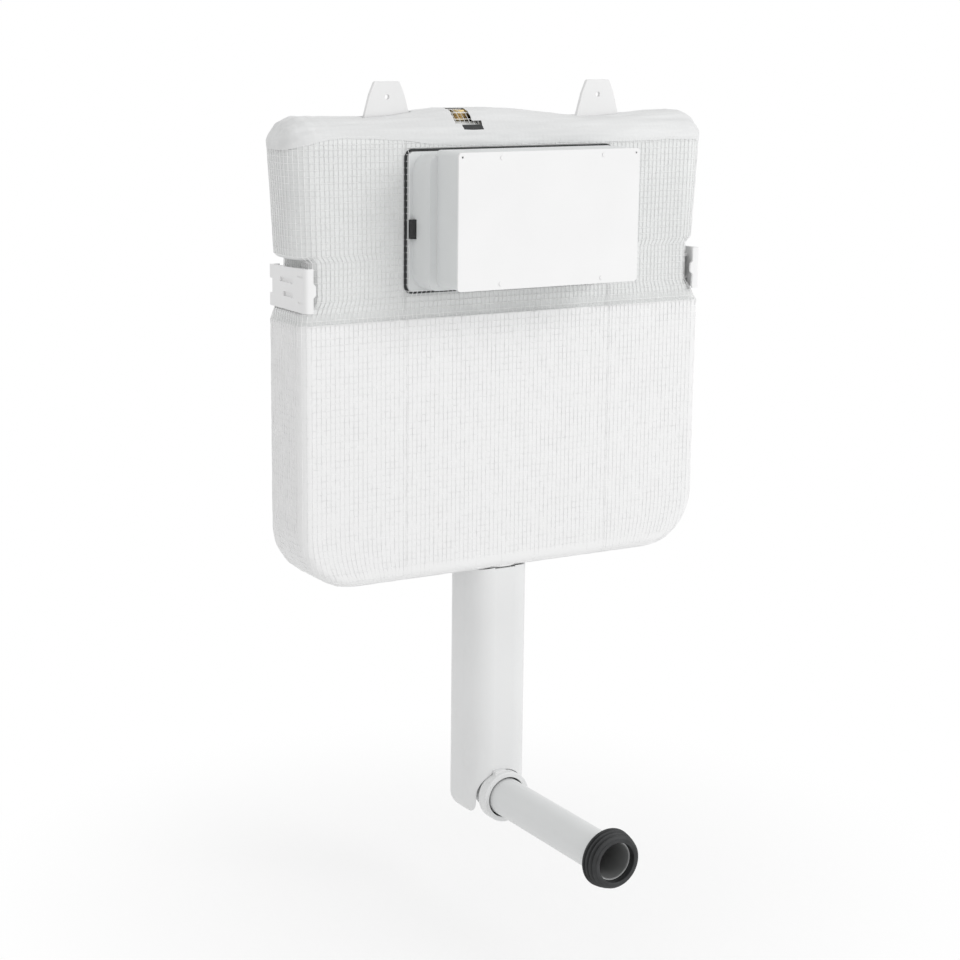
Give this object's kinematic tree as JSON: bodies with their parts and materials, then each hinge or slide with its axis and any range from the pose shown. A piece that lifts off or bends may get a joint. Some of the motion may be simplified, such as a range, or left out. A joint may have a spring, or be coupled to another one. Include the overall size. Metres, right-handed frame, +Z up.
{
  "type": "toilet cistern",
  "caption": "Slim concealed toilet cistern in a plaster net, with an access box, hanger brackets, side clips, a drop casing and a flush outlet with a ribbed pan seal.",
  "frame": {"origin": "midway between the two hanger holes, on the back face of the hanger brackets", "axes": "+X to the right seen from the room, +Y into the wall, +Z up"},
  "size_m": [0.4844, 0.2871, 0.7696],
  "materials": {
    "tank": "blow-moulded white polyethylene, faint orange peel",
    "net": "white glass-fibre plaster net",
    "bracket": "white moulded plastic",
    "clip": "white moulded plastic, slightly glossy",
    "frame": "white moulded plastic",
    "box": "white moulded plastic, fine sheen",
    "cover": "bright white moulded plastic",
    "black_plastic": "black moulded plastic",
    "rubber": "black rubber",
    "seal_rubber": "dark soft rubber",
    "brass": "turned brass",
    "valve_white": "white moulded plastic",
    "valve_grey": "grey moulded plastic",
    "valve_blue": "blue moulded plastic",
    "braid": "braided stainless steel wire",
    "steel": "stainless steel",
    "casing": "white moulded shells",
    "pipe": "light grey extruded pipe"
  },
  "bodies": {
    "root": {"tank_body": "tank", "plaster_net": "net", "hanger_bracket_right": "bracket", "hanger_bracket_left": "bracket", "side_clip_right": "clip", "side_clip_left": "clip", "blanking_grommet": "rubber", "access_gasket": "rubber", "access_frame": "frame", "splash_plate": "valve_white", "protection_box": "box", "actuator_frame": "valve_white", "lever_axle": "steel", "valve_seat": "valve_white", "seat_washer": "seal_rubber", "seat_nut": "valve_white", "valve_basket": "valve_white", "inlet_tail": "brass", "inlet_washer": "seal_rubber", "inlet_nut": "brass", "stop_valve": "brass", "supply_hose": "braid", "hose_nuts": "steel", "fill_valve": "valve_white", "fill_bracket": "valve_grey", "flush_bend": "valve_white", "bend_seal": "seal_rubber", "bend_nut": "valve_white", "casing_front": "casing", "casing_rear": "casing", "outlet_collar": "casing", "collar_lip_seal": "seal_rubber"},
    "flush_valve": {"overflow_tube": "valve_grey", "flush_seal": "seal_rubber", "full_lift_rod": "valve_grey"},
    "full_lever": {"full_flush_lever": "valve_grey"},
    "half_float": {"half_flush_float": "valve_blue", "half_lift_rod": "valve_blue"},
    "half_lever": {"half_flush_lever": "valve_blue"},
    "float": {"float_cup": "valve_white"},
    "float_arm": {"float_lever": "valve_grey"},
    "stop_knob": {"stop_knob": "valve_blue"},
    "cover": {"cover_plate": "cover", "cover_pins": "cover"},
    "latch_left": {"latch_left": "black_plastic"},
    "latch_right": {"latch_right": "black_plastic"},
    "outlet": {"outlet_pipe": "pipe", "pan_seal": "rubber"}
  },
  "joints": [
    {"name": "flush_valve_lift", "type": "slide", "parent": "root", "child": "flush_valve", "axis": [0, 0, 1], "range_m": [0, 0.01139]},
    {"name": "full_lever_turn", "type": "hinge", "parent": "root", "child": "full_lever", "pos_m": [0.022, -0.022, -0.0915], "axis": [1, 0, 0], "range_deg": [0, 24.2]},
    {"name": "half_float_lift", "type": "slide", "parent": "root", "child": "half_float", "axis": [0, 0, 1], "range_m": [0, 0.01139]},
    {"name": "half_lever_turn", "type": "hinge", "parent": "root", "child": "half_lever", "pos_m": [-0.022, -0.022, -0.0915], "axis": [1, 0, 0], "range_deg": [0, 24.2]},
    {"name": "float_rise", "type": "slide", "parent": "root", "child": "float", "axis": [0, 0, 1], "range_m": [0, 0.016]},
    {"name": "float_lever_turn", "type": "hinge", "parent": "root", "child": "float_arm", "pos_m": [-0.15, 0.014, -0.112], "axis": [0, 1, 0], "range_deg": [0, 23.2]},
    {"name": "stop_knob_turn", "type": "hinge", "parent": "root", "child": "stop_knob", "pos_m": [-0.041, -0.0225, -0.0533], "axis": [0, -1, 0], "range_deg": [0, 90]},
    {"name": "cover_pull", "type": "slide", "parent": "root", "child": "cover", "axis": [0, -1, 0], "range_m": [0, 0.025]},
    {"name": "latch_left_slide", "type": "slide", "parent": "root", "child": "latch_left", "axis": [-1, 0, 0], "range_m": [0, 0.003]},
    {"name": "latch_right_slide", "type": "slide", "parent": "root", "child": "latch_right", "axis": [1, 0, 0], "range_m": [0, 0.003]},
    {"name": "outlet_pipe_slide", "type": "slide", "parent": "root", "child": "outlet", "axis": [0, -1, 0], "range_m": [0, 0.01]}
  ],
  "couplings": [
    {"joint": "full_lever_turn", "follows": "flush_valve_lift", "rad_per_m": 36.782},
    {"joint": "half_lever_turn", "follows": "half_float_lift", "rad_per_m": 36.782},
    {"joint": "float_lever_turn", "follows": "float_rise", "rad_per_m": 25}
  ]
}
